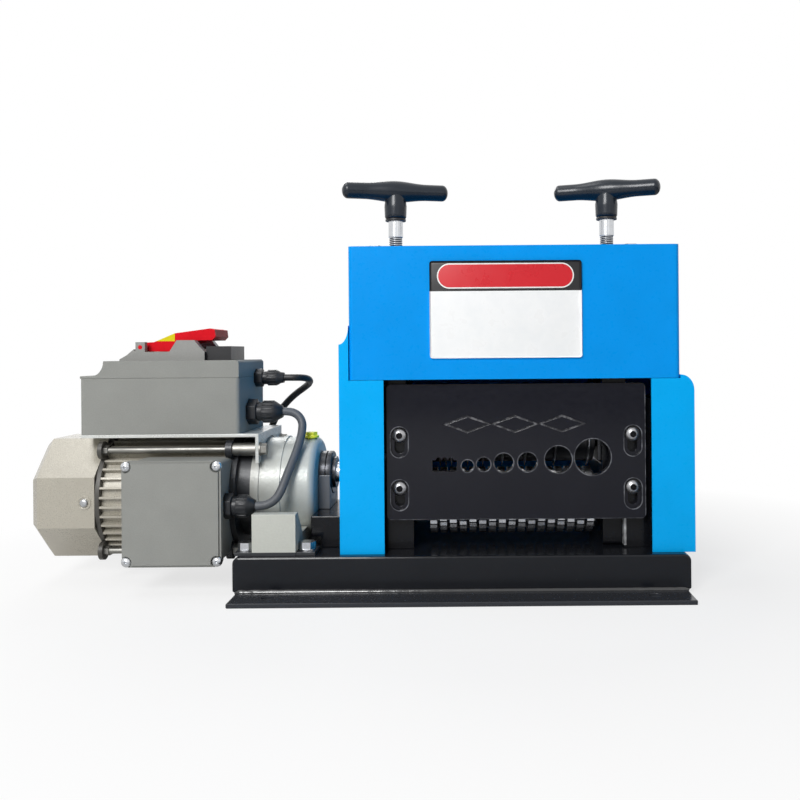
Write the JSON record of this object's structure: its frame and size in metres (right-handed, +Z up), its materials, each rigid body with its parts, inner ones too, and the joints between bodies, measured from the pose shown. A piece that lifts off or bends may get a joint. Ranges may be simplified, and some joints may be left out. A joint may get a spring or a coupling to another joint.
{
  "type": "wire stripping machine",
  "caption": "Bench machine that slits the sheath of scrap cable between a motor-driven toothed roller and disc blades set by screws with T-handles, with a guide plate of sized holes.",
  "frame": {"origin": "middle of the four mounting holes on the underside of the bottom plate", "axes": "+X to the right along the machine's length, +Y from the operator to the back, +Z up"},
  "size_m": [0.6261, 0.2943, 0.3813],
  "materials": {
    "black_paint": "gloss black paint",
    "blue_paint": "smooth blue powder coat",
    "bare_steel": "machined steel",
    "zinc": "zinc plate",
    "dark_steel": "black oxide",
    "black_plastic": "moulded black plastic",
    "grey_paint": "grey paint",
    "cast_grey": "painted casting",
    "beige_cast": "painted casting",
    "yellow_plastic": "moulded yellow plastic",
    "motor_grey": "warm grey paint",
    "winding": "varnished winding",
    "box_grey": "moulded grey plastic",
    "switch_grey": "moulded grey plastic",
    "red_plastic": "moulded red plastic",
    "green_plastic": "moulded green plastic",
    "grey_rubber": "grey sheath",
    "black_rubber": "black sheath",
    "tie_plastic": "white nylon"
  },
  "bodies": {
    "machine": {"base_plate": "black_paint", "base_channel": "black_paint", "left_side_frame": "black_paint", "right_side_frame": "black_paint", "top_plate": "black_paint", "hood": "blue_paint", "left_gear_cover": "blue_paint", "right_gear_cover": "blue_paint", "cover_screws": "dark_steel", "hex_bolts": "zinc", "guide_brackets": "black_paint", "guide_bolts": "dark_steel", "roller_bearings": "zinc", "output_bearing": "dark_steel", "bearing_stand": "grey_paint", "support_block": "black_paint", "gearbox_housing": "cast_grey", "gearbox_foot": "beige_cast", "vent_plug": "yellow_plastic", "motor_housing": "motor_grey", "stator": "winding", "end_shield": "motor_grey", "tie_rods": "zinc", "fan_cover": "motor_grey", "terminal_box": "box_grey", "terminal_lid": "box_grey", "motor_screws": "zinc", "terminal_gland": "black_plastic", "control_bracket": "cast_grey", "control_box": "box_grey", "control_lid": "box_grey", "switch_body": "switch_grey", "control_glands": "black_plastic", "motor_lead": "grey_rubber", "mains_lead": "black_rubber", "lead_coil": "black_rubber", "coil_tie": "tie_plastic", "mains_plug": "black_rubber"},
    "rotor": {"motor_rotor": "bare_steel", "cooling_fan": "black_plastic"},
    "output": {"output_shaft": "bare_steel", "drive_pinion": "dark_steel"},
    "roller": {"roller_shaft": "bare_steel", "feed_roller": "bare_steel", "roller_gear": "dark_steel", "lower_timing_gear": "dark_steel"},
    "carriage": {"bearing_blocks": "dark_steel", "blade_bearings": "zinc"},
    "blades": {"blade_shaft": "bare_steel", "disc_blades": "bare_steel", "blade_spacers": "black_plastic", "upper_timing_gear": "dark_steel"},
    "left_adjuster": {"left_screw": "zinc", "left_handle": "black_plastic"},
    "right_adjuster": {"right_screw": "zinc", "right_handle": "black_plastic"},
    "guide": {"guide_plate": "black_paint"},
    "paddle": {"stop_paddle": "red_plastic"},
    "start": {"start_button": "green_plastic"},
    "stop": {"stop_button": "red_plastic"}
  },
  "joints": [
    {"name": "rotor_spin", "type": "hinge", "parent": "machine", "child": "rotor", "pos_m": [-0.28, 0, 0.0775], "axis": [1, 0, 0], "continuous": true},
    {"name": "output_spin", "type": "hinge", "parent": "machine", "child": "output", "pos_m": [-0.12, 0, 0.09681], "axis": [1, 0, 0], "continuous": true},
    {"name": "roller_spin", "type": "hinge", "parent": "machine", "child": "roller", "pos_m": [0.04, -0.027, 0.073], "axis": [1, 0, 0], "continuous": true},
    {"name": "carriage_lift", "type": "slide", "parent": "machine", "child": "carriage", "axis": [0, 0, 1], "range_m": [0, 0.00525]},
    {"name": "blade_spin", "type": "hinge", "parent": "carriage", "child": "blades", "pos_m": [0.04, -0.027, 0.137], "axis": [1, 0, 0], "continuous": true},
    {"name": "left_screw_turn", "type": "hinge", "parent": "carriage", "child": "left_adjuster", "pos_m": [-0.062, -0.027, 0.3], "axis": [0, 0, 1], "range_deg": [0, 1080]},
    {"name": "right_screw_turn", "type": "hinge", "parent": "carriage", "child": "right_adjuster", "pos_m": [0.142, -0.027, 0.3], "axis": [0, 0, 1], "range_deg": [0, 1080]},
    {"name": "guide_slide", "type": "slide", "parent": "machine", "child": "guide", "axis": [0, 0, 1], "range_m": [0, 0.012]},
    {"name": "paddle_hinge", "type": "hinge", "parent": "machine", "child": "paddle", "pos_m": [-0.308, 0, 0.2225], "axis": [0, -1, 0], "range_deg": [-3, 75]},
    {"name": "start_press", "type": "slide", "parent": "machine", "child": "start", "axis": [0, 0, -1], "range_m": [0, 0.003], "stiffness_N_per_m": 400},
    {"name": "stop_press", "type": "slide", "parent": "machine", "child": "stop", "axis": [0, 0, -1], "range_m": [0, 0.003], "stiffness_N_per_m": 400}
  ],
  "couplings": [
    {"joint": "output_spin", "follows": "rotor_spin", "ratio": 0.04},
    {"joint": "roller_spin", "follows": "rotor_spin", "ratio": -0.025455},
    {"joint": "blade_spin", "follows": "rotor_spin", "ratio": 0.025455},
    {"joint": "left_screw_turn", "follows": "carriage_lift", "rad_per_m": 3590.3},
    {"joint": "right_screw_turn", "follows": "carriage_lift", "rad_per_m": 3590.3}
  ]
}
